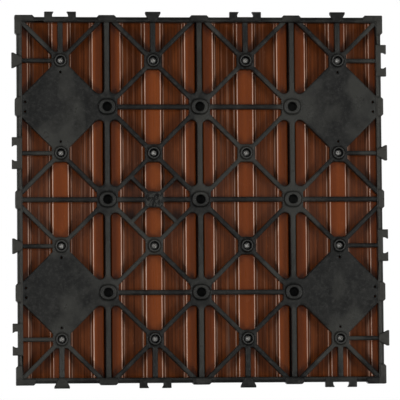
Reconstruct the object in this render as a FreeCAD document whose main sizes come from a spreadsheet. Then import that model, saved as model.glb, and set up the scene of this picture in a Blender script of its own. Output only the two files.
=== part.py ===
"""Interlocking deck tile: a moulded base grid, four slats and sixteen screws.

The tile stands in its use position. X runs across the slats, Y along them and Z up.
The origin is on the ground under the tile's middle. All sizes are in millimetres.
"""
import FreeCAD, Part
import math
import os
import Sketcher

# Driving sizes: alias, value, meaning
SIZES = [
    ("bay", 75.0, "centre distance of neighbouring slats, and of the main ribs"),
    ("base_height", 10.0, "ground to the top of the base grid"),
    ("rail_setback", 2.2, "rail face behind the line where two tiles meet"),
    ("rail_width", 4.3, "width of the outer rail"),
    ("rail_clearance", 2.0, "ground to the underside of the rail"),
    ("step_width", 1.5, "width of the raised step along the rail's outer edge"),
    ("step_rise", 1.5, "height of that step above the rail's underside"),
    ("rib_clearance", 3.0, "ground to the underside of the ribs, webs and pads"),
    ("long_rib", 4.4, "width of the main ribs under the slat gaps"),
    ("cross_rib", 3.8, "width of the main ribs across the slats"),
    ("diagonal_rib", 3.6, "width of the diagonal ribs"),
    ("short_rib", 4.2, "width of the short ribs along the slats"),
    ("side_rib", 3.2, "width of the short ribs across the slats"),
    ("boss_web", 14.2, "side of the square web round a screw boss"),
    ("boss_width", 10.8, "outer diameter of a screw boss"),
    ("boss_bore", 7.0, "bore of a screw boss below the screw head"),
    ("boss_floor", 4.0, "thickness of the boss floor that a screw clamps"),
    ("leg_web", 17.0, "width of the web round a leg, across the slats"),
    ("leg_fillet", 4.1, "radius between a long and a diagonal rib, at the web of a leg"),
    ("leg_width", 12.6, "width of an oval leg, along the slats"),
    ("leg_length", 14.6, "length of an oval leg, across the slats"),
    ("leg_round", 5.8, "rounding of a leg's outline"),
    ("leg_bore", 7.4, "bore of a leg"),
    ("leg_floor", 1.5, "thickness above the bore of a leg"),
    ("foot_chamfer", 0.8, "chamfer round the foot of each boss and leg"),
    ("pad_thickness", 2.0, "thickness of the corner pads and the small plate"),
    ("drain_bore", 2.0, "small drain holes in the corner pads"),
    ("drain_offset", 9.3, "drain hole from the next boss axis"),
    ("drain_edge", 2.5, "drain hole from the rail"),
    ("drain_spacing", 7.8, "spacing of the two drain holes beside the rail"),
    ("plate_length", 15.3, "length of the small plate, across the slats"),
    ("plate_width", 13.1, "width of the small plate, along the slats"),
    ("plate_rib", 3.2, "width of the four ribs that carry the small plate"),
    ("spacer_clearance", 1.5, "ground to the underside of the spacers"),
    ("spacer_gap", 1.4, "gap that touching spacers leave to the meeting line, twice"),
    ("spacer_face", 12.4, "width of a spacer's outer face"),
    ("spacer_depth", 4.8, "depth of a spacer from its outer face"),
    ("corner_leg", 14.3, "length of each arm of a corner spacer"),
    ("corner_radius", 0.8, "rounding of a corner spacer"),
    ("joint_clearance", 1.0, "ground to the underside of the connectors"),
    ("joint_thickness", 5.0, "thickness of the connectors"),
    ("joint_play", 0.25, "play all round between a tongue and a socket"),
    ("tongue_width", 12.4, "width of a dovetail tongue at its tip"),
    ("tongue_straight", 1.5, "straight part of a tongue behind its tip"),
    ("tongue_root", 5.0, "width of a tongue at the rail's inner edge"),
    ("hook_width", 7.6, "width of each hook of a socket at its tip"),
    ("socket_plate", 4.0, "depth of the plate that carries the hooks"),
    ("slat_width", 69.4, "width of a slat"),
    ("slat_thickness", 12.0, "thickness of a slat"),
    ("slat_setback", 0.4, "slat end behind the rail face"),
    ("slat_round", 1.5, "rounding of a slat's upper edges"),
    ("channel_round", 0.8, "rounding at the top and the foot of the channel walls"),
    ("land_width", 13.0, "width of the middle land under a slat"),
    ("edge_land", 8.7, "width of the land along each edge of a slat"),
    ("wall_run", 2.5, "run of the sloping channel walls"),
    ("channel_depth", 3.2, "depth of a channel at the foot of its walls"),
    ("arch_rise", 0.8, "rise of a channel's arched floor above its feet"),
    ("head_width", 6.0, "diameter of a screw head"),
    ("head_height", 2.3, "height of a screw head"),
    ("shank_width", 3.5, "diameter of a screw shank"),
    ("screw_length", 13.0, "length of a screw under its head"),
    ("shank_play", 0.25, "play round a shank in the boss floor"),
    ("pilot_play", 0.1, "play round a shank in the slat"),
    ("pilot_spare", 0.5, "pilot hole past a screw's point"),
    ("recess_span", 3.6, "span of the cross recess"),
    ("recess_slot", 0.9, "width of each slot of the recess"),
    ("recess_depth", 1.3, "depth of the recess"),
]

# Places along a side, counted in bays from its middle
BAYS = 4
BOSSES = [i - (BAYS - 1) / 2 for i in range(BAYS)]
NODES = [i - (BAYS - 2) / 2 for i in range(BAYS - 1)]
SOCKETS = (-1.5, 0.5)
TONGUES = (-0.5, 1.5)
PLATE_BAY = -0.5
# Share of an arch's half span that its round takes
ARCH_SHARE = 0.8
# Sides of the rounds that repeat all over the grid, which would be too fine as arcs
SMALL_SIDES = 8
HEAD_SIDES = 12
ROUND_SIDES = 20
LEG_SIDES = 5
FILLET_SIDES = 5
# How far a piece of a node runs on inside its neighbour, so that both join
JOIN = 0.5

PLANES = {"XY": "XY_Plane", "XZ": "XZ_Plane"}


class Size:
    """A length that carries its number and the sheet expression that gives it."""

    def __init__(self, value, text):
        self.value = value
        self.text = text

    def join(self, other, sign, value):
        text = other.text if isinstance(other, Size) else repr(float(other))
        return Size(value, "(%s %s %s)" % (self.text, sign, text))

    def __add__(self, other):
        return self.join(other, "+", self.value + number(other))

    def __sub__(self, other):
        return self.join(other, "-", self.value - number(other))

    def __mul__(self, other):
        return self.join(other, "*", self.value * number(other))

    def __truediv__(self, other):
        return self.join(other, "/", self.value / number(other))

    def __neg__(self):
        return self * -1

    __rmul__ = __mul__

    def root(self):
        return Size(math.sqrt(self.value), "sqrt(%s)" % self.text)


def number(size):
    """The plain number of a size, or of a number."""
    return size.value if isinstance(size, Size) else float(size)


def make_sheet(doc):
    """Writes the driving sizes into a sheet and returns them by alias."""
    sheet = doc.addObject("Spreadsheet::Sheet", "sizes")
    sheet.Label = "sizes"
    sizes = {}
    for row, (alias, value, meaning) in enumerate(SIZES, start=1):
        sheet.set("A%d" % row, alias)
        sheet.set("B%d" % row, str(value))
        sheet.set("C%d" % row, meaning)
        sheet.setAlias("B%d" % row, alias)
        sizes[alias] = Size(value, "sizes." + alias)
    doc.recompute()
    return sizes


class Sizes:
    """The driving sizes and the few that follow from them, as attributes."""

    def __init__(self, table):
        for alias, size in table.items():
            setattr(self, alias, size)
        self.root_two = Size(math.sqrt(2), "sqrt(2)")
        self.ground = self.bay * 0
        self.meeting = self.bay * (BAYS / 2)
        self.rail_out = self.meeting - self.rail_setback
        self.rail_in = self.rail_out - self.rail_width
        self.step_in = self.rail_out - self.step_width
        self.spacer_out = self.meeting - self.spacer_gap / 2
        self.spacer_in = self.spacer_out - self.spacer_depth
        self.joint_out = self.meeting + self.rail_setback - self.joint_play
        self.tongue_shoulder = self.joint_out - self.tongue_straight
        self.pad_top = self.rib_clearance + self.pad_thickness
        self.seat = self.base_height - self.boss_floor
        self.slope = self.root_two * self.diagonal_rib / 2
        self.slat_half = self.slat_width / 2
        self.leg_side = self.leg_web / 2
        self.slat_length = (self.rail_out - self.slat_setback) * 2
        self.pilot_depth = self.screw_length - self.boss_floor + self.pilot_spare


def tangent_arc(before, corner, after, radius):
    """Start, end and centre of the arc of a given radius that rounds a corner."""
    back = (before - corner).normalize()
    ahead = (after - corner).normalize()
    half = back.getAngle(ahead) / 2
    start = corner + back * (radius.value / math.tan(half))
    end = corner + ahead * (radius.value / math.tan(half))
    centre = corner + (back + ahead).normalize() * (radius.value / math.sin(half))
    return start, end, centre


class Drawing:
    """Collects the geometry and constraints of a sketch and adds them in one go."""

    def __init__(self):
        self.shapes = []
        self.helpers = []
        self.constraints = []
        self.driven = []

    def add(self, shape, helper=False):
        self.shapes.append(shape)
        self.helpers.append(helper)
        return len(self.shapes) - 1

    def hold(self, *terms):
        self.constraints.append(Sketcher.Constraint(*terms))

    def drive(self, size, *terms):
        """Adds a constraint whose value follows a size in the sheet."""
        self.driven.append((len(self.constraints), size))
        self.constraints.append(Sketcher.Constraint(*terms, size.value))

    def place(self, shape, point, x, y):
        """Holds a point at x and y. A plain zero puts it on the axis."""
        for kind, axis, size in (("DistanceX", -2, x), ("DistanceY", -1, y)):
            if isinstance(size, Size):
                self.drive(size, kind, -1, 1, shape, point)
            else:
                self.hold("PointOnObject", shape, point, axis)

    def outline(self, corners):
        """One closed outline. Each corner is (x, y), or (x, y, radius) where it is rounded."""
        points = [FreeCAD.Vector(number(corner[0]), number(corner[1]), 0) for corner in corners]
        count = len(points)
        starts = list(points)
        ends = list(points)
        centres = {}
        for i, corner in enumerate(corners):
            if len(corner) == 3:
                after = points[(i + 1) % count]
                ends[i], starts[i], centres[i] = tangent_arc(points[i - 1], points[i], after, corner[2])
        lines = [self.add(Part.LineSegment(starts[i], ends[(i + 1) % count])) for i in range(count)]
        for i, corner in enumerate(corners):
            before, after = lines[i - 1], lines[i]
            if i in centres:
                self.round(before, after, points[i], centres[i], ends[i], starts[i], corner)
            else:
                self.hold("Coincident", before, 2, after, 1)
                self.place(after, 1, corner[0], corner[1])

    def round(self, before, after, point, centre, start, end, corner):
        """Joins two lines by a tangent arc and holds their corner with a helping point."""
        first = math.atan2(start.y - centre.y, start.x - centre.x)
        last = math.atan2(end.y - centre.y, end.x - centre.x)
        near, far = 1, 2
        if (start - point).cross(end - point).z > 0:
            first, last = last, first
            near, far = far, near
        circle = Part.Circle(centre, FreeCAD.Vector(0, 0, 1), corner[2].value)
        arc = self.add(Part.ArcOfCircle(circle, first, last))
        mark = self.add(Part.Point(point), True)
        self.hold("Tangent", before, 2, arc, near)
        self.hold("Tangent", arc, far, after, 1)
        self.hold("PointOnObject", mark, 1, before)
        self.hold("PointOnObject", mark, 1, after)
        self.place(mark, 1, corner[0], corner[1])
        self.drive(corner[2], "Radius", arc)

    def put_into(self, sketch):
        """Hands everything to the sketch."""
        sketch.addGeometry(self.shapes, False)
        for index, helper in enumerate(self.helpers):
            if helper:
                sketch.setConstruction(index, True)
        sketch.addConstraint(self.constraints)
        for index, size in self.driven:
            sketch.setExpression("Constraints[%d]" % index, size.text)


def origin_part(body, role):
    """One of a body's own origin planes or axes."""
    for feature in body.Origin.OriginFeatures:
        if feature.Role == role:
            return feature
    raise ValueError("no origin feature " + role)


def make_sketch(body, label, plane, level, outlines):
    """A sketch on one of the body's planes, raised to a level along Z."""
    sketch = body.newObject("Sketcher::SketchObject", label + "_sketch")
    sketch.AttachmentSupport = [(origin_part(body, PLANES[plane]), "")]
    sketch.MapMode = "FlatFace"
    if isinstance(level, Size):
        sketch.AttachmentOffset = FreeCAD.Placement(FreeCAD.Vector(0, 0, level.value), FreeCAD.Rotation())
        sketch.setExpression("AttachmentOffset.Base.z", level.text)
    drawing = Drawing()
    for corners in outlines:
        drawing.outline(corners)
    drawing.put_into(sketch)
    return sketch


def add_prism(body, label, low, high, outlines):
    """Material of one outline, or several, from one level up to another."""
    sketch = make_sketch(body, label, "XY", low, outlines)
    pad = body.newObject("PartDesign::Pad", label)
    pad.Profile = sketch
    bind(pad, "Length", high - low)
    return pad


def cut_prism(body, label, low, high, outlines):
    """A cut of one outline, or several, from one level down to another."""
    sketch = make_sketch(body, label, "XY", high, outlines)
    pocket = body.newObject("PartDesign::Pocket", label)
    pocket.Profile = sketch
    bind(pocket, "Length", high - low)
    return pocket


def add_post(body, label, s, foot, outline):
    """A post from the ground to the top of the grid, drawn in by a chamfer at its foot."""
    chamfer = body.newObject("PartDesign::AdditiveLoft", label + "_chamfer")
    chamfer.Profile = make_sketch(body, label + "_foot", "XY", s.ground, [foot])
    chamfer.Sections = [make_sketch(body, label + "_rim", "XY", s.foot_chamfer, [outline])]
    chamfer.Ruled = True
    add_prism(body, label, s.foot_chamfer, s.base_height, [outline])


def spread(body, label, pitch, count, features=()):
    """Repeats the whole body so far, or some features, in rows and columns from the first one."""
    body.Document.recompute()
    pattern = body.newObject("PartDesign::LinearPattern", label)
    if features:
        pattern.Originals = features
    else:
        pattern.TransformMode = "Whole shape"
    pattern.Direction = (origin_part(body, "X_Axis"), [""])
    pattern.Direction2 = (origin_part(body, "Y_Axis"), [""])
    pattern.Occurrences = count
    pattern.Occurrences2 = count
    bind(pattern, "Length", pitch * (count - 1))
    bind(pattern, "Length2", pitch * (count - 1))
    body.Tip = pattern
    return pattern


def on_each_side(body, label, features):
    """Repeats features on the tile's four sides."""
    pattern = body.newObject("PartDesign::PolarPattern", label)
    pattern.Originals = features
    pattern.Axis = (origin_part(body, "Z_Axis"), [""])
    pattern.Angle = 360
    pattern.Occurrences = 4
    body.Tip = pattern
    return pattern


def bind(item, prop, size):
    """Sets a length of an object and ties it to the sheet."""
    setattr(item, prop, size.value)
    item.setExpression(prop, size.text)


def put(item, x, y, z):
    """Places an object and ties its place to the sheet."""
    item.Placement.Base = FreeCAD.Vector(x.value, y.value, z.value)
    for axis, size in (("x", x), ("y", y), ("z", z)):
        item.setExpression("Placement.Base." + axis, size.text)


def rectangle(left, right, low, high):
    """The four corners of an upright rectangle."""
    return [(left, low), (right, low), (right, high), (left, high)]


def fan(x, y, radius, first, last, sides):
    """Points along a round about a point, from one angle in degrees to another."""
    points = []
    for i in range(sides + 1):
        angle = math.radians(first + (last - first) * i / sides)
        points.append((x + radius * math.cos(angle), y + radius * math.sin(angle)))
    return points


def ring(x, y, diameter, sides):
    """A whole round about a point."""
    half_step = 180 / sides
    return fan(x, y, diameter / 2, half_step, half_step + 360, sides)[:-1]


def square(half):
    """A square about the origin."""
    return rectangle(-half, half, -half, half)


def centred(x, y, half_x, half_y):
    """A rectangle about a point."""
    return rectangle(x - half_x, x + half_x, y - half_y, y + half_y)


def quarter_turns(corners, x, y):
    """Repeats corners in the four quarter turns about a point, as one outline."""
    outline = []
    for cosine, sine in ((1, 0), (0, 1), (-1, 0), (0, -1)):
        for u, v, *radius in corners:
            outline.append((x + u * cosine - v * sine, y + u * sine + v * cosine, *radius))
    return outline


def four_fold(quarter, x, y):
    """Mirrors the corners of one quarter into the other three, as one outline about a point."""
    outline = []
    for x_sign, y_sign in ((1, 1), (-1, 1), (-1, -1), (1, -1)):
        corners = quarter if x_sign == y_sign else list(reversed(quarter))
        for u, v, *radius in corners:
            outline.append((x + u * x_sign, y + v * y_sign, *radius))
    return outline


def mirrored(half):
    """Closes an outline whose right half is given from one end of its axis to the other."""
    left = [(-corner[0],) + tuple(corner[1:]) for corner in reversed(half)]
    return half + left


def shifted(outline, x):
    """An outline moved along X."""
    return [(corner[0] + x,) + tuple(corner[1:]) for corner in outline]


def new_body(doc, label):
    """A body whose label is its node's name."""
    body = doc.addObject("PartDesign::Body", label)
    body.Label = label
    return body


def cut_leg_bore(body, s):
    """The bore of the first leg, cut from a body."""
    place = s.bay * NODES[0]
    bore = ring(place, place, s.leg_bore, ROUND_SIDES)
    return cut_prism(body, body.Label + "_bore", s.ground, s.base_height - s.leg_floor, [bore])


def build_rails(body, s):
    """The outer rail with its raised step, and the main ribs from rail to rail with the legs' bores."""
    step_low = s.rail_clearance + s.step_rise
    add_prism(body, "rail", s.rail_clearance, s.base_height, [square(s.step_in), square(s.rail_in)])
    add_prism(body, "rail_step", step_low, s.base_height, [square(s.rail_out), square(s.rail_in)])
    reach = s.rail_in + JOIN
    long_half = s.long_rib / 2
    cross_half = s.cross_rib / 2
    nodes = [s.bay * place for place in NODES]
    along = [rectangle(x - long_half, x + long_half, -reach, reach) for x in nodes]
    across = [rectangle(-reach, reach, y - cross_half, y + cross_half) for y in nodes]
    add_prism(body, "long_ribs", s.rib_clearance, s.base_height, along)
    add_prism(body, "cross_ribs", s.rib_clearance, s.base_height, across)
    bore = cut_leg_bore(body, s)
    spread(body, "rib_bores", s.bay, len(NODES), [bore])


def build_short_ribs(body, s):
    """Ribs from the webs of the outermost bosses straight to the nearest rail."""
    inner = s.bay * BOSSES[-1] + s.boss_web / 2 - JOIN
    outer = s.rail_in + JOIN
    half = s.short_rib / 2
    side_half = s.side_rib / 2
    along = []
    across = []
    for place in [s.bay * step for step in BOSSES]:
        along.append(rectangle(place - half, place + half, inner, outer))
        along.append(rectangle(place - half, place + half, -outer, -inner))
        across.append(rectangle(inner, outer, place - side_half, place + side_half))
        across.append(rectangle(-outer, -inner, place - side_half, place + side_half))
    add_prism(body, "short_ribs", s.rib_clearance, s.base_height, along)
    add_prism(body, "side_ribs", s.rib_clearance, s.base_height, across)


def build_legs(doc, s):
    """An oval leg at each crossing of the main ribs, with a web that rounds the corners there."""
    body = new_body(doc, "legs")
    x = y = s.bay * NODES[0]
    rib_side = s.long_rib / 2
    # The fillet touches the long rib and the diagonal one, 45 degrees from it
    fillet = fan(rib_side + s.leg_fillet, rib_side + s.slope + s.leg_fillet * (1 + math.sqrt(2)),
                 s.leg_fillet, -45, -180, FILLET_SIDES)
    quarter = [(s.leg_side, s.cross_rib / 2), (s.leg_side, s.leg_side - s.slope)] + fillet
    add_prism(body, "leg_web", s.rib_clearance, s.base_height, [four_fold(quarter, x, y)])
    oval, foot = [four_fold(fan(s.leg_length / 2 - s.leg_round, s.leg_width / 2 - s.leg_round,
                                radius, 0, 90, LEG_SIDES), x, y)
                  for radius in (s.leg_round, s.leg_round - s.foot_chamfer)]
    add_post(body, "leg", s, foot, oval)
    cut_leg_bore(body, s)
    spread(body, "leg_rows", s.bay, len(NODES))
    return body


def build_bay_crosses(doc, s):
    """In each bay a cross of diagonal ribs and its screw boss, bored for the head and the shank."""
    body = new_body(doc, "bay_crosses")
    x = y = s.bay * BOSSES[0]
    end = s.bay / 2 - s.rail_setback - s.step_width
    arm = [(s.slope, s.ground), (end, end - s.slope), (end, end), (end - s.slope, end)]
    add_prism(body, "diagonal_ribs", s.rib_clearance, s.base_height, [quarter_turns(arm, x, y)])
    web = s.boss_web / 2
    add_prism(body, "boss_web", s.rib_clearance, s.base_height, [centred(x, y, web, web)])
    foot = ring(x, y, s.boss_width - s.foot_chamfer * 2, ROUND_SIDES)
    add_post(body, "boss", s, foot, ring(x, y, s.boss_width, ROUND_SIDES))
    shank_hole = ring(x, y, s.shank_width + s.shank_play * 2, SMALL_SIDES)
    cut_prism(body, "shank_hole", s.ground, s.base_height, [shank_hole])
    cut_prism(body, "boss_bore", s.ground, s.seat, [ring(x, y, s.boss_bore, ROUND_SIDES)])
    spread(body, "cross_rows", s.bay, BAYS)
    return body


def build_corner_pads(body, s):
    """Four flat pads, each filling the diamond between two bosses, a leg and the side rail."""
    half = s.bay / 2 + s.slope
    # How far a pad reaches towards the rail, the leg and each boss, and its half width there
    rail = s.rail_in + JOIN - s.bay * BOSSES[-1]
    leg = s.bay / 2 - s.leg_side + JOIN
    boss = s.bay / 2 - s.boss_web / 2 + JOIN
    upper = [(rail, half - rail), (half - boss, boss), (boss - half, boss), (-leg, half - leg)]
    outline = upper + [(u, -v) for u, v in reversed(upper)]
    pads = []
    for x_sign in (-1, 1):
        for y in (s.bay * NODES[0], s.bay * NODES[-1]):
            pads.append([((s.bay * BOSSES[-1] + u) * x_sign, y + v) for u, v in outline])
    add_prism(body, "corner_pads", s.rib_clearance, s.pad_top, pads)


def build_small_plate(body, s):
    """The small plate of one cell, carried by four short ribs across the diagonals."""
    x = s.bay * PLATE_BAY
    half = s.root_two * s.plate_rib / 2
    end = s.bay / 4
    arm = [(half, s.ground), (end, end - half), (end, end), (end - half, end)]
    add_prism(body, "plate_ribs", s.rib_clearance, s.base_height, [quarter_turns(arm, x, s.ground)])
    plate = centred(x, s.ground, s.plate_length / 2, s.plate_width / 2)
    add_prism(body, "small_plate", s.rib_clearance, s.pad_top, [plate])


def build_drain_bores(doc, s):
    """What is cut out of each corner pad: two holes by its bosses and two by the rail."""
    bores = []
    reach = s.bay / 2 - s.drain_offset
    half = s.drain_spacing / 2
    for x_sign in (-1, 1):
        edge = (s.rail_in - s.drain_edge) * x_sign
        x = s.bay * BOSSES[-1] * x_sign
        for y_sign in (-1, 1):
            y = s.bay * NODES[-1] * y_sign
            for place in ((x, y - reach), (x, y + reach), (edge, y - half), (edge, y + half)):
                bore = doc.addObject("Part::Prism", "drain_bore")
                bore.Polygon = SMALL_SIDES
                bind(bore, "Circumradius", s.drain_bore / 2)
                bind(bore, "Height", s.pad_thickness)
                put(bore, *place, s.rib_clearance)
                bores.append(bore)
    return bores


def build_spacers(body, s):
    """Spacers on the middle and corner nodes of one side, which hold neighbouring tiles apart."""
    shoulder = s.spacer_out - s.rail_out
    face = s.spacer_face / 2
    half = face + shoulder
    outlines = []
    for x in [s.bay * place for place in NODES]:
        outlines.append([(x - half, -s.spacer_in), (x - half, -s.rail_out), (x - face, -s.spacer_out),
                         (x + face, -s.spacer_out), (x + half, -s.rail_out), (x + half, -s.spacer_in)])
    arm = s.spacer_out - s.corner_leg
    end = arm - shoulder
    outlines.append([(-s.spacer_out, -s.spacer_out, s.corner_radius), (-arm, -s.spacer_out),
                     (-end, -s.rail_out), (-end, -s.spacer_in), (-s.spacer_in, -s.spacer_in),
                     (-s.spacer_in, -end), (-s.rail_out, -end), (-s.spacer_out, -arm)])
    spacers = add_prism(body, "side_spacers", s.spacer_clearance, s.base_height, outlines)
    on_each_side(body, "spacers", [spacers])


def tongue(x, s):
    """A dovetail tongue, whose flanks run on over the rail to its inner edge."""
    tip = s.tongue_width / 2
    half = [(tip, -s.joint_out), (tip, -s.tongue_shoulder), (s.tongue_root / 2, -s.rail_in)]
    return shifted(mirrored(half), x)


def socket(x, s):
    """Two hooks on a plate, shaped to the tongue of the next tile with the play all round."""
    taper = (s.tongue_width - s.tongue_root) / 2 / (s.tongue_shoulder - s.rail_in)
    slant = (taper * taper + 1).root()
    cavity = s.tongue_width / 2 + s.joint_play
    back = s.meeting * 2 - s.tongue_shoulder + s.joint_play * (slant - 1) / taper
    mouth = cavity - taper * (s.joint_out - back)
    half = [(cavity, -s.rail_out), (cavity, -back), (mouth, -s.joint_out),
            (mouth + s.hook_width, -s.joint_out), (mouth + s.hook_width, -(s.rail_out - s.socket_plate))]
    return shifted(mirrored(half), x)


def build_connectors(body, s):
    """Two sockets and two tongues on each side, so that any side meets its opposite one."""
    outlines = [socket(s.bay * place, s) for place in SOCKETS]
    outlines += [tongue(s.bay * place, s) for place in TONGUES]
    top = s.joint_clearance + s.joint_thickness
    connectors = add_prism(body, "side_connectors", s.joint_clearance, top, outlines)
    on_each_side(body, "connectors", [connectors])


def build_base_grid(doc, s):
    """The moulded grid: all its parts fused into one solid."""
    frame = new_body(doc, "frame")
    build_rails(frame, s)
    build_short_ribs(frame, s)
    build_spacers(frame, s)
    build_connectors(frame, s)
    plates = new_body(doc, "plates")
    build_corner_pads(plates, s)
    build_small_plate(plates, s)
    drains = doc.addObject("Part::Compound", "drains")
    drains.Links = build_drain_bores(doc, s)
    drained_plates = doc.addObject("Part::Cut", "drained_plates")
    drained_plates.Base = plates
    drained_plates.Tool = drains
    grid = doc.addObject("Part::MultiFuse", "base_grid")
    grid.Label = "base_grid"
    grid.Shapes = [frame, drained_plates, build_legs(doc, s), build_bay_crosses(doc, s)]
    grid.Refine = True
    return grid


def build_slat(doc, s, index):
    """A composite slat: three lands and two arched channels below, rounded edges above."""
    body = new_body(doc, "slat_%d" % (index + 1))
    middle = s.land_width / 2
    foot = middle + s.wall_run
    edge = s.slat_half - s.edge_land
    far_foot = edge - s.wall_run
    crown = (foot + far_foot) / 2
    # The crown's round spans most of the channel: tangent length over rise over half the span
    half_span = (far_foot - foot) / 2
    arch = half_span * half_span / s.arch_rise * ARCH_SHARE
    half = [(middle, s.ground, s.channel_round), (foot, s.channel_depth, s.channel_round),
            (crown, s.channel_depth + s.arch_rise, arch), (far_foot, s.channel_depth, s.channel_round),
            (edge, s.ground, s.channel_round), (s.slat_half, s.ground),
            (s.slat_half, s.slat_thickness, s.slat_round)]
    sketch = make_sketch(body, body.Label, "XZ", None, [mirrored(half)])
    pad = body.newObject("PartDesign::Pad", body.Label + "_bar")
    pad.Profile = sketch
    pad.SideType = "Symmetric"
    bind(pad, "Length", s.slat_length)
    pilot = s.shank_width + s.pilot_play * 2
    holes = [ring(s.ground, s.bay * place, pilot, SMALL_SIDES) for place in BOSSES]
    cut_prism(body, body.Label + "_pilot_holes", s.ground, s.pilot_depth, holes)
    put(body, s.bay * BOSSES[index], s.ground, s.base_height)
    return body


def build_screws(doc, s):
    """Pan-head screws, one up through each boss into the slat above it."""
    body = new_body(doc, "deck_screws")
    head = ring(s.ground, s.ground, s.head_width, HEAD_SIDES)
    shank = ring(s.ground, s.ground, s.shank_width, SMALL_SIDES)
    add_prism(body, "head", -s.head_height, s.ground, [head])
    add_prism(body, "shank", s.ground, s.screw_length, [shank])
    slot = s.recess_slot / 2
    span = s.recess_span / 2
    cross = quarter_turns([(slot, -slot), (span, -slot), (span, slot)], s.ground, s.ground)
    cut_prism(body, "recess", -s.head_height, s.recess_depth - s.head_height, [cross])
    spread(body, "screw_rows", s.bay, BAYS)
    first = s.bay * BOSSES[0]
    put(body, first, first, s.seat)
    return body


def check(doc, nodes):
    """Stops if any object failed or any node's shape is empty or not valid."""
    for item in doc.Objects:
        for state in ("Invalid", "Error"):
            if state in item.State:
                raise RuntimeError("%s is in state %s" % (item.Name, state))
    for node in nodes:
        if node.Shape.isNull() or not node.Shape.isValid():
            raise RuntimeError("%s has no valid shape" % node.Label)


def main():
    doc = FreeCAD.newDocument("deck_tile")
    s = Sizes(make_sheet(doc))
    nodes = [build_base_grid(doc, s)]
    nodes += [build_slat(doc, s, index) for index in range(BAYS)]
    nodes.append(build_screws(doc, s))
    doc.recompute()
    check(doc, nodes)
    os.makedirs("parts", exist_ok=True)
    for node in nodes:
        node.Shape.exportStep("parts/%s.step" % node.Label)
        print(node.Label, len(node.Shape.Solids), "solids", round(node.Shape.Volume), "mm3")


main()
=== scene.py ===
"""Dresses the deck tile: a moulded base grid, four composite slats and sixteen screws.

The tile lies in its use position and is seen from below, as in the photograph. X runs
across the slats, Y along them and Z up. Lengths are in metres, colours in linear light.
"""
import math
import bmesh
import bpy
import numpy as np
from mathutils import Euler, Matrix, Vector


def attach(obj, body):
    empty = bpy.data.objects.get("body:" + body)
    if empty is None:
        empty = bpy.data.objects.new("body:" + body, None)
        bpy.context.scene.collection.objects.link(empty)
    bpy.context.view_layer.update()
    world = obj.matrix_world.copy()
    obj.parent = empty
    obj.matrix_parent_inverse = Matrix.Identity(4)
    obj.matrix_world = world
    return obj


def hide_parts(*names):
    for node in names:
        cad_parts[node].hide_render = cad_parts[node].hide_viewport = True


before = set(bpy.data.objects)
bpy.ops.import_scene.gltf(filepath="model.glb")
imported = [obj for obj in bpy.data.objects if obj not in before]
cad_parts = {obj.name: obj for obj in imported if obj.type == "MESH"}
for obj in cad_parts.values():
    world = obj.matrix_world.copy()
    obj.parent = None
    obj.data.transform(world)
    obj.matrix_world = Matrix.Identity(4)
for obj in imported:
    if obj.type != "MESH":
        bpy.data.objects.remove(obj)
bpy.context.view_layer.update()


def node_box(name):
    """The low and the high corner of a CAD node."""
    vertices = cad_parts[name].data.vertices
    points = np.empty(len(vertices) * 3)
    vertices.foreach_get("co", points)
    points = points.reshape(-1, 3)
    return points.min(axis=0), points.max(axis=0)


MM = 0.001

# Sizes of the grid and the slats. The slats' outer sizes are those of their CAD nodes.
BAY = 75 * MM
BAYS = 4
slat_low, slat_high = node_box("slat_1")
SLAT_WIDTH, SLAT_LENGTH, SLAT_THICKNESS = slat_high - slat_low
BASE_HEIGHT = slat_low[2]
LAND_HALF = 6.5 * MM
CHANNEL_FOOT = 9.0 * MM
FAR_FOOT = 23.5 * MM
EDGE_LAND = 26.0 * MM
CHANNEL_DEPTH = 3.2 * MM
CHANNEL_RISE = 0.8 * MM
CHANNEL_ROUND = 0.8 * MM
LOWER_ROUND = 1.3 * MM
UPPER_ROUND = 1.5 * MM
SAWN_CHAMFER = 0.3 * MM

# Sizes of the screws
SEAT = 6 * MM
HEAD_RADIUS = 2.85 * MM
HEAD_HEIGHT = 2.3 * MM
RECESS_SPAN = 1.75 * MM
RECESS_SLOT = 0.5 * MM
RECESS_DEPTH = 1.3 * MM
SHANK_RADIUS = 1.75 * MM
CORE_RADIUS = 1.25 * MM
THREAD_PITCH = 1.3 * MM
SCREW_LENGTH = 13 * MM

PLACES = [(i - (BAYS - 1) / 2) * BAY for i in range(BAYS)]
PLATE_X = -BAY / 2

# Ramps on which a finish changes, as heights above the ground
FOOT = (0.2 * MM, 1.0 * MM)
LEG_MOUTH = (1.5 * MM, 4.0 * MM)
PLATE_FACE = (3.4 * MM, 3.6 * MM)
RIB_FACE = (4.0 * MM, 4.5 * MM)
LEG_ROOF = (8.8 * MM, 9.4 * MM)
CHANNEL_MOUTH = (BASE_HEIGHT + 0.3 * MM, BASE_HEIGHT + 1.4 * MM)
CHANNEL_ROOF = (BASE_HEIGHT + 4.2 * MM, BASE_HEIGHT + 4.8 * MM)

# Ramps as distances from the middle of the tile or of the small plate
PLATE_SIDE = (5.4 * MM, 5.9 * MM)
PLATE_END = (6.5 * MM, 7.0 * MM)
PAD_TOP = (37 * MM, 38 * MM)
PAD_LEFT = (75 * MM, 76 * MM)
LAST_RIB = (140 * MM, 141 * MM)
RAIL = (143.3 * MM, 143.6 * MM)

# Ramps as distances from the main ribs, and as squared distances from the axes of the legs
LONG_RIB = (1.0 * MM, 2.2 * MM)
LONG_RIB_ROUND = (1.2 * MM, 2.2 * MM)
LONG_RIB_SIDE = (2.4 * MM, 2.5 * MM)
CROSS_RIB = (1.7 * MM, 2.0 * MM)
WEB = (10 * MM, 14 * MM)
LEG_BORE = (16 * MM * MM, 17 * MM * MM)
LEG_WALL = (80 * MM * MM, 81 * MM * MM)

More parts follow.
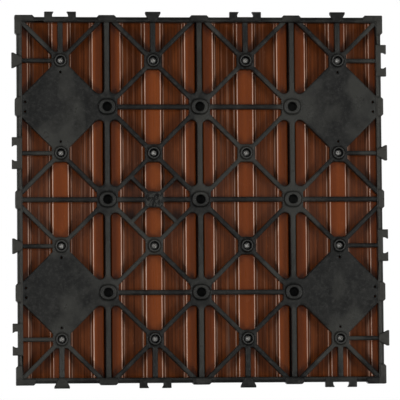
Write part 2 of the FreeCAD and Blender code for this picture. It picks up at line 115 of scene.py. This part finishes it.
# Arrises of the lands and feet of the channel walls, as distances from the middle of a slat,
# and how strong their painted highlight lines are
ARRISES = [(6.3 * MM, 0.85), (8.7 * MM, 0.45), (24.2 * MM, 0.4), (26.2 * MM, 0.9)]
ARRIS_WIDTH = (0.2 * MM, 0.5 * MM)

# Colours of the plastic
BLACK = (0.0005, 0.0005, 0.0005)
MOULDED = [(0.0020, 0.0022, 0.0017), (0.0078, 0.0080, 0.0070)]
CAST = (0.030, 0.030, 0.027)
# Painted sheen in patches, and painted sheen on the rails and ribs along the slats
PAINTED_SHEEN = (0.030, 0.030, 0.026)
SHEEN_ALONG_SLATS = (0.034, 0.033, 0.028)
DUSTY = (0.038, 0.038, 0.034)
# Painted highlight on the flat feet
FOOT_HIGHLIGHT = (0.040, 0.040, 0.037)
SPECKLED = (0.044, 0.044, 0.040)

# Colours of the composite and the zinc
LAND = [(0.108, 0.021, 0.0022), (0.168, 0.038, 0.0055)]
CHANNEL = [(0.050, 0.0122, 0.0026), (0.134, 0.034, 0.0072)]
FLECK = (0.30, 0.13, 0.07)
FIBRE = (0.05, 0.012, 0.005)
HAZE = (0.34, 0.20, 0.14)
# Painted highlight lines on the arrises
ARRIS_HIGHLIGHT = (0.60, 0.42, 0.33)
ZINC = [(0.48, 0.47, 0.44), (0.90, 0.89, 0.86)]


# Shader maths

class Signal:
    """A socket of a node tree. Arithmetic on it adds Math nodes."""

    def __init__(self, shader, socket):
        self.shader = shader
        self.socket = socket

    def math(self, operation, *values, clamp=False):
        """A Math node on values, each a signal or a number."""
        return self.shader.node("ShaderNodeMath", {"operation": operation, "use_clamp": clamp},
                                dict(enumerate(values)))

    def __add__(self, other):
        return self.math("ADD", self, other)

    def __sub__(self, other):
        return self.math("SUBTRACT", self, other)

    def __rsub__(self, other):
        return self.math("SUBTRACT", other, self)

    def __mul__(self, other):
        return self.math("MULTIPLY", self, other)

    def __abs__(self):
        return self.math("ABSOLUTE", self)

    __radd__ = __add__
    __rmul__ = __mul__

    def most(self, other):
        """The larger of two signals."""
        return self.math("MAXIMUM", self, other)

    def above(self, low, high):
        """0 below low, 1 above high and a straight ramp between them."""
        return self.math("MULTIPLY", self - low, 1 / (high - low), clamp=True)

    def below(self, low, high):
        """1 below low, 0 above high and a straight ramp between them."""
        return 1 - self.above(low, high)

    def spread(self, first, last):
        """Runs from first to last while the signal runs from 0 to 1."""
        return self * (last - first) + first

    def from_rib(self):
        """The distance of a coordinate from the nearest line between two bays."""
        bays = self * (1 / BAY)
        return abs(bays - self.math("ROUND", bays)) * BAY

    def from_bay(self):
        """The distance of a coordinate from the middle of its bay."""
        bays = self * (1 / BAY)
        return abs(self.math("FRACT", bays) - 0.5) * BAY


class Shader:
    """A node tree that is built by calls."""

    def __init__(self, tree):
        self.tree = tree
        tree.nodes.clear()

    def node(self, kind, settings=None, sockets=None, output=0):
        """Makes a node, sets it up, fills or links its sockets and returns one of its outputs."""
        node = self.tree.nodes.new(kind)
        for key, value in (settings or {}).items():
            setattr(node, key, value)
        for key, value in (sockets or {}).items():
            if isinstance(value, Signal):
                self.tree.links.new(value.socket, node.inputs[key])
            else:
                node.inputs[key].default_value = value
        return Signal(self, node.outputs[output]) if node.outputs else None

    def split(self, vector):
        """X, Y and Z of a vector."""
        return [self.node("ShaderNodeSeparateXYZ", sockets={"Vector": vector}, output=i) for i in range(3)]


class Finish(Shader):
    """One procedural material."""

    def __init__(self, name):
        self.material = bpy.data.materials.new(name)
        self.material.use_nodes = True
        super().__init__(self.material.node_tree)

    def place(self):
        """Object coordinates of the piece."""
        return self.node("ShaderNodeTexCoord", output="Object")

    def noise(self, where, scale, detail, roughness, stretch=None):
        """Noise from 0 to 1, of about scale features to the metre, drawn out where stretch is small.

        detail is the number of finer octaves on top, and roughness is how much they count.
        """
        if stretch:
            where = self.node("ShaderNodeMapping", sockets={"Vector": where, "Scale": stretch})
        return self.node("ShaderNodeTexNoise", sockets={"Vector": where, "Scale": scale, "Detail": detail,
                                                        "Roughness": roughness})

    def mix(self, factor, low, high):
        """A colour between two others."""
        pair = {}
        for key, colour in ((6, low), (7, high)):
            pair[key] = colour if isinstance(colour, Signal) else (*colour, 1)
        return self.node("ShaderNodeMix", {"data_type": "RGBA"}, {0: factor, **pair}, output=2)

    def bump(self, height, distance, strength, normal=None):
        """A bumped normal. distance is the height in metres that a full step of height means."""
        sockets = {"Height": height, "Distance": distance, "Strength": strength}
        if normal:
            sockets["Normal"] = normal
        return self.node("ShaderNodeBump", sockets=sockets)

    def surface(self, **sockets):
        """Ends the material with a Principled shader."""
        names = {key.replace("_", " "): value for key, value in sockets.items()}
        return self.end(self.node("ShaderNodeBsdfPrincipled", sockets=names, output="BSDF"))

    def end(self, shader):
        """Ends the material with a shader and returns it."""
        self.node("ShaderNodeOutputMaterial", sockets={"Surface": shader})
        return self.material


# Finishes

def black_plastic():
    """Black moulded polypropylene, grained and a little dusty.

    It has painted sheen in broad patches and on the rails and ribs along the slats, painted shade on those
    across them and on walls, arrises and the edges of the long ribs, and a painted highlight on its flat
    feet.
    """
    finish = Finish("black_plastic")
    where = finish.place()
    x, y, height = finish.split(where)
    across, along = x.from_rib(), y.from_rib()
    from_leg = across * across + along * along

    # Broad patches of painted sheen, drawn paler in the colour
    sheen_patches = finish.noise(where, 19, detail=4, roughness=0.55, stretch=(1.0, 0.7, 1.0)).above(0.49, 0.57)
    flow = finish.noise(where, 70, detail=4, roughness=0.6)
    dust = finish.noise(where, 260, detail=4, roughness=0.7).above(0.5, 0.78)
    cast = finish.noise(where, 480, detail=4, roughness=0.7)
    pitted = finish.noise(where, 520, detail=4, roughness=0.75)
    grain = finish.noise(where, 1400, detail=2, roughness=0.6)

    foot = height.below(*FOOT)
    low = height.below(*RIB_FACE)
    # The small plate is left rough by its insert in the mould
    plate = abs(x - PLATE_X).below(*PLATE_END) * abs(y).below(*PLATE_SIDE) * height.below(*PLATE_FACE)
    # The hollows of the legs are dull
    hollow = height.above(*LEG_MOUTH) * height.below(*LEG_ROOF) * from_leg.below(*LEG_BORE)
    # Painted sheen: the rails and ribs along the slats are drawn paler underneath.
    # Painted shade: those across them are drawn darker
    side_rail = abs(x).above(*RAIL) * low
    end_rail = abs(y).above(*RAIL) * low
    pad = abs(x).above(*PAD_LEFT) * abs(y).above(*PAD_TOP)
    long_rib = across.below(*LONG_RIB) * along.above(*WEB) * low
    cross_rib = along.below(*CROSS_RIB) * across.above(*WEB) * low * (1 - pad)
    sheen_along_slats = side_rail.most(long_rib * 0.65) * cast.above(0.3, 0.6).spread(0.6, 1.0)
    shade_across_slats = cross_rib.most(end_rail * 0.5) * 0.55
    # Faces that lie level, less the rounded edges of the long ribs. Walls, arrises and those edges get
    # painted shade
    level = abs(finish.split(finish.node("ShaderNodeNewGeometry", output="True Normal"))[2])
    rounding = across.above(*LONG_RIB_ROUND) * across.below(*LONG_RIB_SIDE) * along.above(*WEB)
    rounding = rounding * low * abs(x).below(*LAST_RIB)
    face = level.above(0.4, 0.97) * rounding.spread(1.0, 0.1)
    # The flat feet get a painted highlight, drawn paler, those of the bosses more than those of the legs
    painted_highlight = foot * level.above(0.9, 0.97) * from_leg.above(*LEG_WALL).spread(0.35, 0.85)

    colour = finish.mix(flow.above(0.4, 0.62), *MOULDED)
    colour = finish.mix(cast.above(0.5, 0.68) * 0.6, colour, CAST)
    # Painted sheen in broad patches
    colour = finish.mix(sheen_patches * 0.85, colour, PAINTED_SHEEN)
    # Painted sheen along the slats and painted shade across them
    colour = finish.mix(sheen_along_slats, colour, SHEEN_ALONG_SLATS)
    colour = finish.mix(shade_across_slats, colour, BLACK)
    colour = finish.mix(plate, colour, finish.mix(pitted.above(0.47, 0.57), BLACK, SPECKLED))
    colour = finish.mix(dust * foot.spread(0.5, 0.1), colour, DUSTY)
    # Painted shade: walls, arrises and the edges of the long ribs drawn nearly black
    colour = finish.mix(face.spread(0.2, 1.0), BLACK, colour)
    # Painted highlight on the flat feet
    colour = finish.mix(painted_highlight, colour, FOOT_HIGHLIGHT)
    roughness = 0.27 + flow * 0.12 + dust * 0.1 - foot * 0.1 + plate * 0.5 + hollow * 0.35 - sheen_patches * 0.05

    soft = finish.node("ShaderNodeBevel", {"samples": 8}, {"Radius": 2.4 * MM})
    uneven = finish.bump(cast, 0.34 * MM, 0.8, normal=soft)
    grained = finish.bump(grain, 0.06 * MM, 0.6, normal=uneven)
    normal = finish.bump(pitted * plate, 0.6 * MM, 0.8, normal=grained)
    return finish.surface(Base_Color=colour, Roughness=roughness, Specular_IOR_Level=0.33, Normal=normal)


def composite():
    """Reddish brown wood composite: an extruded skin in the channels, sanded paler on the lands."""
    finish = Finish("brown_composite")
    where = finish.place()
    x, _, height = finish.split(where)

    highlight_patchiness = finish.noise(where, 60, detail=2, roughness=0.6, stretch=(1.0, 0.5, 1.0)).above(0.25, 0.6)
    bands = finish.noise(where, 160, detail=2, roughness=0.5, stretch=(1.0, 0.012, 1.0))
    haze = finish.noise(where, 420, detail=2, roughness=0.5, stretch=(1.0, 0.012, 1.0)).above(0.58, 0.7)
    fibres = finish.noise(where, 700, detail=3, roughness=0.6, stretch=(1.0, 0.08, 1.0))
    streaks = finish.noise(where, 900, detail=3, roughness=0.6, stretch=(1.0, 0.006, 1.0))
    flecks = finish.noise(where, 1500, detail=2, roughness=0.6, stretch=(1.0, 0.12, 1.0)).above(0.62, 0.8)

    underside = height.below(*CHANNEL_ROOF)
    inside = height.above(*CHANNEL_MOUTH) * underside
    # Painted highlight lines on the arrises of the lands and the feet of the channel walls
    from_middle = x.from_bay()
    highlight_lines = sum(abs(from_middle - arris).below(*ARRIS_WIDTH) * painted_highlight for arris, painted_highlight in ARRISES)

    colour = finish.mix(inside, finish.mix(bands.above(0.3, 0.7), *LAND),
                        finish.mix(streaks.above(0.35, 0.7), *CHANNEL))
    colour = finish.mix(flecks * 0.35, colour, FLECK)
    colour = finish.mix(fibres.above(0.5, 0.8) * 0.25, colour, FIBRE)
    colour = finish.mix(haze * inside * 0.24, colour, HAZE)
    # Painted highlight lines on the arrises
    colour = finish.mix(highlight_lines * underside * highlight_patchiness.spread(0.4, 1.0), colour, ARRIS_HIGHLIGHT)
    roughness = 0.2 + streaks * 0.12 + fibres * 0.06

    fine = finish.bump(streaks, 0.12 * MM, 0.5)
    normal = finish.bump(fibres, 0.08 * MM, 0.5, normal=fine)
    return finish.surface(Base_Color=colour, Roughness=roughness, Specular_IOR_Level=0.16, Normal=normal)


def zinc():
    """Dull zinc-plated steel with fine wear."""
    finish = Finish("zinc_plate")
    where = finish.place()
    cloud = finish.noise(where, 900, detail=3, roughness=0.6)
    scratch = finish.noise(where, 2600, detail=2, roughness=0.6, stretch=(1.0, 0.2, 1.0))
    colour = finish.mix(cloud.above(0.4, 0.62), *ZINC)
    normal = finish.bump(scratch, 0.06 * MM, 0.6)
    return finish.surface(Base_Color=colour, Metallic=0.8, Roughness=cloud.spread(0.28, 0.44), Normal=normal)


# Shapes

def unit(vectors):
    """Vectors divided by their lengths, along the last axis."""
    return vectors / np.linalg.norm(vectors, axis=-1, keepdims=True)


def rounded(corners, radii, steps):
    """A closed outline with rounded corners.

    Each corner c with unit directions u and w to its neighbours, half angle h and radius r
    becomes an arc about c + (u + w)/|u + w| r/sin h, from c + u r/tan h to c + w r/tan h.
    The arc is swept by spherical interpolation of its two end radii.
    """
    corners = np.array(corners, float)
    radii = np.array(radii, float)[:, None]
    u = unit(np.roll(corners, 1, axis=0) - corners)
    w = unit(np.roll(corners, -1, axis=0) - corners)
    half = np.arccos(np.sum(u * w, axis=1, keepdims=True)) / 2
    centre = corners + unit(u + w) * radii / np.sin(half)
    first = corners + u * radii / np.tan(half) - centre
    last = corners + w * radii / np.tan(half) - centre
    turn = (math.pi - 2 * half)[:, None, :]
    share = np.linspace(0, 1, steps)[None, :, None]
    arcs = (first[:, None] * np.sin((1 - share) * turn) + last[:, None] * np.sin(share * turn)) / np.sin(turn)
    return (centre[:, None] + arcs).reshape(-1, 2)


def grid_faces(rows, columns):
    """Quads between neighbouring points of a grid whose columns close on themselves."""
    i = np.arange(rows - 1)[:, None] * columns
    j = np.arange(columns)[None, :]
    k = (j + 1) % columns
    return np.stack([i + j, i + k, i + columns + k, i + columns + j], axis=-1).reshape(-1, 4)


def add_object(name, data):
    """Puts a mesh, a lamp or a camera into the scene."""
    item = bpy.data.objects.new(name, data)
    bpy.context.scene.collection.objects.link(item)
    return item


def add_piece(name, mesh, material, smooth_angle):
    """A mesh in one material, smooth except along edges sharper than an angle in degrees."""
    mesh.shade_smooth()
    mesh.set_sharp_from_angle(angle=math.radians(smooth_angle))
    mesh.materials.clear()
    mesh.materials.append(material)
    return add_object(name, mesh)


def new_piece(name, points, faces, material, smooth_angle):
    """A piece made of points and faces, with its faces turned outwards."""
    mesh = bpy.data.meshes.new(name)
    mesh.from_pydata(np.asarray(points).tolist(), [], [list(face) for face in faces])
    shaped = bmesh.new()
    shaped.from_mesh(mesh)
    bmesh.ops.recalc_face_normals(shaped, faces=shaped.faces)
    shaped.to_mesh(mesh)
    shaped.free()
    return add_piece(name, mesh, material, smooth_angle)


def slat(name, middle, material):
    """One slat: its section carried along Y, drawn in a little at the sawn ends.

    The section is a rounded outline in X and Z. Ring k holds the section shrunk about its
    centre by the end's chamfer, at the k-th place along Y.
    """
    crown = (CHANNEL_FOOT + FAR_FOOT) / 2
    span = (FAR_FOOT - CHANNEL_FOOT) / 2
    # A little tighter than the arch whose round would reach both feet of the channel
    arch = span * span / CHANNEL_RISE * 0.8
    right = [(LAND_HALF, 0), (CHANNEL_FOOT, CHANNEL_DEPTH), (crown, CHANNEL_DEPTH + CHANNEL_RISE),
             (FAR_FOOT, CHANNEL_DEPTH), (EDGE_LAND, 0), (SLAT_WIDTH / 2, 0), (SLAT_WIDTH / 2, SLAT_THICKNESS)]
    radii = [CHANNEL_ROUND, CHANNEL_ROUND, arch, CHANNEL_ROUND, CHANNEL_ROUND, LOWER_ROUND, UPPER_ROUND]
    corners = right + [(-x, z) for x, z in reversed(right)]
    section = rounded(corners, radii + radii[::-1], steps=9)
    half = SLAT_LENGTH / 2
    along = np.array([-half, SAWN_CHAMFER - half, half - SAWN_CHAMFER, half])
    # The ends lose the chamfer all round, which is a smaller share of the width than of the height
    drawn_in = np.array([1, 0, 0, 1])[:, None] * 2 * SAWN_CHAMFER / SLAT_THICKNESS
    width_share = 0.15
    centre = SLAT_THICKNESS / 2
    x = middle + section[None, :, 0] * (1 - drawn_in * width_share)
    z = BASE_HEIGHT + centre + (section[None, :, 1] - centre) * (1 - drawn_in)
    y = np.broadcast_to(along[:, None], x.shape)
    count = len(section)
    faces = grid_faces(len(along), count).tolist()
    faces.append(range(count))
    faces.append(range((len(along) - 1) * count, len(along) * count))
    return new_piece(name, np.stack([x, y, z], axis=-1).reshape(-1, 3), faces, material, smooth_angle=35)


def recess_arm(along, beside):
    """How deep a point lies in one slot of the cross recess, from 0 to 1, with sloping walls.

    It is the distance inside the slot's side over the side's slope, times the distance inside
    the slot's end over the end's slope, each held between 0 and 1.
    """
    side_slope, end_slope = 0.25 * MM, 0.5 * MM
    return (np.clip((RECESS_SLOT - np.abs(beside)) / side_slope, 0, 1)
            * np.clip((RECESS_SPAN - np.abs(along)) / end_slope, 0, 1))


def screw_surface():
    """Points of one pan-head screw as rings about its axis, from the middle of the head to the point.

    Head: radius r = R sin(a) and depth d = H cos(a)^0.7 below the seat, for a from 0 to 90 degrees,
    less the recess where x or y is inside a slot. Shank: core radius plus a ridge that turns once in
    a pitch, narrowing over the last share of its length to the point.
    """
    sides, shank_rings, point_share, tip_share = 48, 90, 0.22, 0.04
    turns = np.linspace(0, 2 * math.pi, sides, endpoint=False)[None, :]
    # The head's rings lie closer together at its rim
    rise = np.concatenate([np.linspace(0.02, 0.8, 18), np.linspace(0.85, 1.0, 7)])[:, None] * math.pi / 2
    radius = HEAD_RADIUS * np.sin(rise) * np.ones_like(turns)
    x, y = radius * np.cos(turns), radius * np.sin(turns)
    recess = RECESS_DEPTH * np.maximum(recess_arm(x, y), recess_arm(y, x))
    head = np.stack([x, y, recess - HEAD_HEIGHT * np.cos(rise) ** 0.7], axis=-1)
    along = np.linspace(0, 1, shank_rings)[:, None]
    height = along * SCREW_LENGTH
    ridge = np.abs((height / THREAD_PITCH - turns / (2 * math.pi)) % 1 - 0.5) * 2
    taper = np.clip((1 - along) / point_share, tip_share, 1)
    thread = (CORE_RADIUS + (SHANK_RADIUS - CORE_RADIUS) * np.clip(ridge * 2 - 1, 0, 1)) * taper
    shank = np.stack([thread * np.cos(turns), thread * np.sin(turns), height * np.ones_like(turns)], axis=-1)
    return np.concatenate([head, shank])


def screws(name, material):
    """All the screws as one piece, each up through its boss into the slat above and turned its own way."""
    one = screw_surface()
    rings, count = one.shape[:2]
    one = one.reshape(-1, 3)
    faces = grid_faces(rings, count)
    first_turn, next_turn = 0.35, 1.9
    points, all_faces = [], []
    for k, (x, y) in enumerate((x, y) for x in PLACES for y in PLACES):
        turn = Matrix.Rotation(first_turn + next_turn * k, 3, "Z")
        points.append(one @ np.array(turn).T + (x, y, SEAT))
        start = k * len(one)
        all_faces += (faces + start).tolist()
        all_faces.append(range(start, start + count))
        all_faces.append(range(start + len(one) - count, start + len(one)))
    return new_piece(name, np.concatenate(points), all_faces, material, smooth_angle=40)


def softened_copy(name, node, material):
    """A copy of a CAD node with its points merged, its flat faces joined and its edges rounded."""
    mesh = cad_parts[node].data.copy()
    mesh.name = name
    shaped = bmesh.new()
    shaped.from_mesh(mesh)
    bmesh.ops.remove_doubles(shaped, verts=shaped.verts, dist=0.002 * MM)
    bmesh.ops.dissolve_limit(shaped, angle_limit=math.radians(0.5), verts=shaped.verts, edges=shaped.edges)
    shaped.to_mesh(mesh)
    shaped.free()
    sharp = 32
    piece = add_piece(name, mesh, material, smooth_angle=sharp)
    bevel = piece.modifiers.new("soft_edges", "BEVEL")
    bevel.width = 0.3 * MM
    bevel.segments = 2
    bevel.limit_method = "ANGLE"
    bevel.angle_limit = math.radians(sharp)
    bevel.use_clamp_overlap = False
    bevel.harden_normals = True
    return piece


def finish_piece(piece, node):
    """Rides a piece on the tile and hides the CAD node that it stands for."""
    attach(piece, "root")
    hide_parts(node)


# The tile

plastic = black_plastic()
brown = composite()
steel = zinc()

for i, middle in enumerate(PLACES, start=1):
    finish_piece(slat("deck_slat_%d" % i, middle, brown), "slat_%d" % i)
finish_piece(screws("pan_head_screws", steel), "deck_screws")
finish_piece(softened_copy("grid_moulding", "base_grid", plastic), "base_grid")


# Stage

def one_sided(name, shade):
    """A matt grey surface that shows on its front only."""
    finish = Finish(name)
    matt = finish.node("ShaderNodeBsdfDiffuse", sockets={"Color": (shade, shade, shade, 1)})
    clear = finish.node("ShaderNodeBsdfTransparent")
    back = finish.node("ShaderNodeNewGeometry", output="Backfacing")
    return finish.end(finish.node("ShaderNodeMixShader", sockets={0: back, 1: matt, 2: clear}))


def stage_plane(name, middle, half_x, half_y, height, material, faces_up=False, blocks=False):
    """A rectangle of the stage that only the camera sees, or that blocks light as well."""
    corners = [(middle + side * half_x, end * half_y, height)
               for side, end in ((-1, -1), (1, -1), (1, 1), (-1, 1))]
    mesh = bpy.data.meshes.new(name)
    mesh.from_pydata(corners, [], [(0, 1, 2, 3) if faces_up else (3, 2, 1, 0)])
    mesh.materials.append(material)
    plane = add_object(name, mesh)
    plane.visible_diffuse = plane.visible_glossy = plane.visible_transmission = blocks
    plane.visible_shadow = blocks


FLOOR_HALF = 4.0
CARD_HALF = SLAT_LENGTH / 2 - 0.2 * MM
GAP_CARD_HALF = 3.2 * MM
ABOVE_SLATS = BASE_HEIGHT + SLAT_THICKNESS + 0.1 * MM
IN_GAP = BASE_HEIGHT + 2 * MM

# Nearly black cards, seen through the gaps between the slats as painted shade
painted_shade_card = one_sided("painted_shade_card", 0.012)
stage_plane("floor", 0.0, FLOOR_HALF, FLOOR_HALF, 0.0, one_sided("pale_floor", 0.82), faces_up=True)
# The card above the slats is seen by the camera only: painted shade in the gaps
stage_plane("under_card", 0.0, CARD_HALF, CARD_HALF, ABOVE_SLATS, painted_shade_card)
# Strips low in the gaps between the slats keep the light above the tile out of the picture from below, and
# show there as painted shade
for i in range(1, BAYS):
    stage_plane("gap_card_%d" % i, (i - BAYS / 2) * BAY, GAP_CARD_HALF, CARD_HALF, IN_GAP, painted_shade_card,
                blocks=True)

# World light from below the tile and from above it, the height at which it is full, and what
# gloss sees of the white below
LIGHT_BELOW = 0.2
LIGHT_ABOVE = 0.8
FULL_HEIGHT = 0.8
ROOM_IN_GLOSS = 0.15

world = bpy.data.worlds.new("studio")
bpy.context.scene.world = world
world.use_nodes = True
backdrop = Shader(world.node_tree)
seen, passed, mirrored = [backdrop.node("ShaderNodeLightPath", output=key)
                          for key in ("Is Camera Ray", "Is Transmission Ray", "Is Glossy Ray")]
direction = backdrop.node("ShaderNodeTexCoord", output="Generated")
upward = backdrop.split(direction)[2].above(0.0, FULL_HEIGHT)
# The camera and clear pieces see white all round. Gloss sees white above and a dimmer room below.
white = seen.math("ADD", seen, passed + mirrored * upward.spread(ROOM_IN_GLOSS, 1.0), clamp=True)
strength = white.most(upward.spread(LIGHT_BELOW, LIGHT_ABOVE))
light = backdrop.node("ShaderNodeBackground", sockets={"Color": (1, 1, 1, 1), "Strength": strength})
backdrop.node("ShaderNodeOutputWorld", sockets={"Surface": light})


def lamp(name, place, width, height, power, matt=True, glossy=True):
    """A soft rectangular lamp aimed at the tile, that lights its matt colour, its gloss or both."""
    data = bpy.data.lights.new(name, "AREA")
    data.shape = "RECTANGLE"
    data.size, data.size_y = width, height
    data.energy = power
    item = add_object(name, data)
    item.location = place
    item.rotation_euler = (-Vector(place)).to_track_quat("-Z", "Y").to_euler()
    item.visible_camera = False
    item.visible_diffuse = matt
    item.visible_glossy = glossy


LEFT, RIGHT = (-1.5, 0.1, -1.65), (1.5, 0.1, -1.65)

lamp("fill", (-0.4, 0.8, -2.3), 1.8, 1.6, 7, glossy=False)
lamp("left_panel", LEFT, 0.9, 0.5, 22, glossy=False)
lamp("right_panel", RIGHT, 0.9, 0.5, 23, glossy=False)
lamp("front_strip", (0.0, -0.2, -2.5), 2.2, 0.4, 3.4, matt=False)
lamp("left_glint", LEFT, 0.9, 0.5, 15, matt=False)
lamp("right_glint", RIGHT, 0.9, 0.5, 13, matt=False)
lamp("top_soft", (0.6, -1.2, 2.2), 1.8, 1.4, 14)

# The camera of the photograph: a long lens below the tile, looking up at it almost square-on.
# It looks at AIM from DISTANCE away, turned by these degrees about X, Y and Z.
AIM = Vector((-0.65 * MM, 0.816 * MM, 0.0))
DISTANCE = 3.196
TURNS = (-175.564, 4.975, 0.487)

camera_data = bpy.data.cameras.new("camera")
camera_data.sensor_width = 36.0
camera_data.lens = 357.03
camera_data.clip_start, camera_data.clip_end = 0.1, 20
camera = add_object("camera", camera_data)
turned = Euler([math.radians(degrees) for degrees in TURNS]).to_matrix()
camera.matrix_world = Matrix.Translation(AIM + turned.col[2] * DISTANCE) @ turned.to_4x4()
bpy.context.scene.camera = camera
bpy.context.scene.view_settings.view_transform = "Standard"
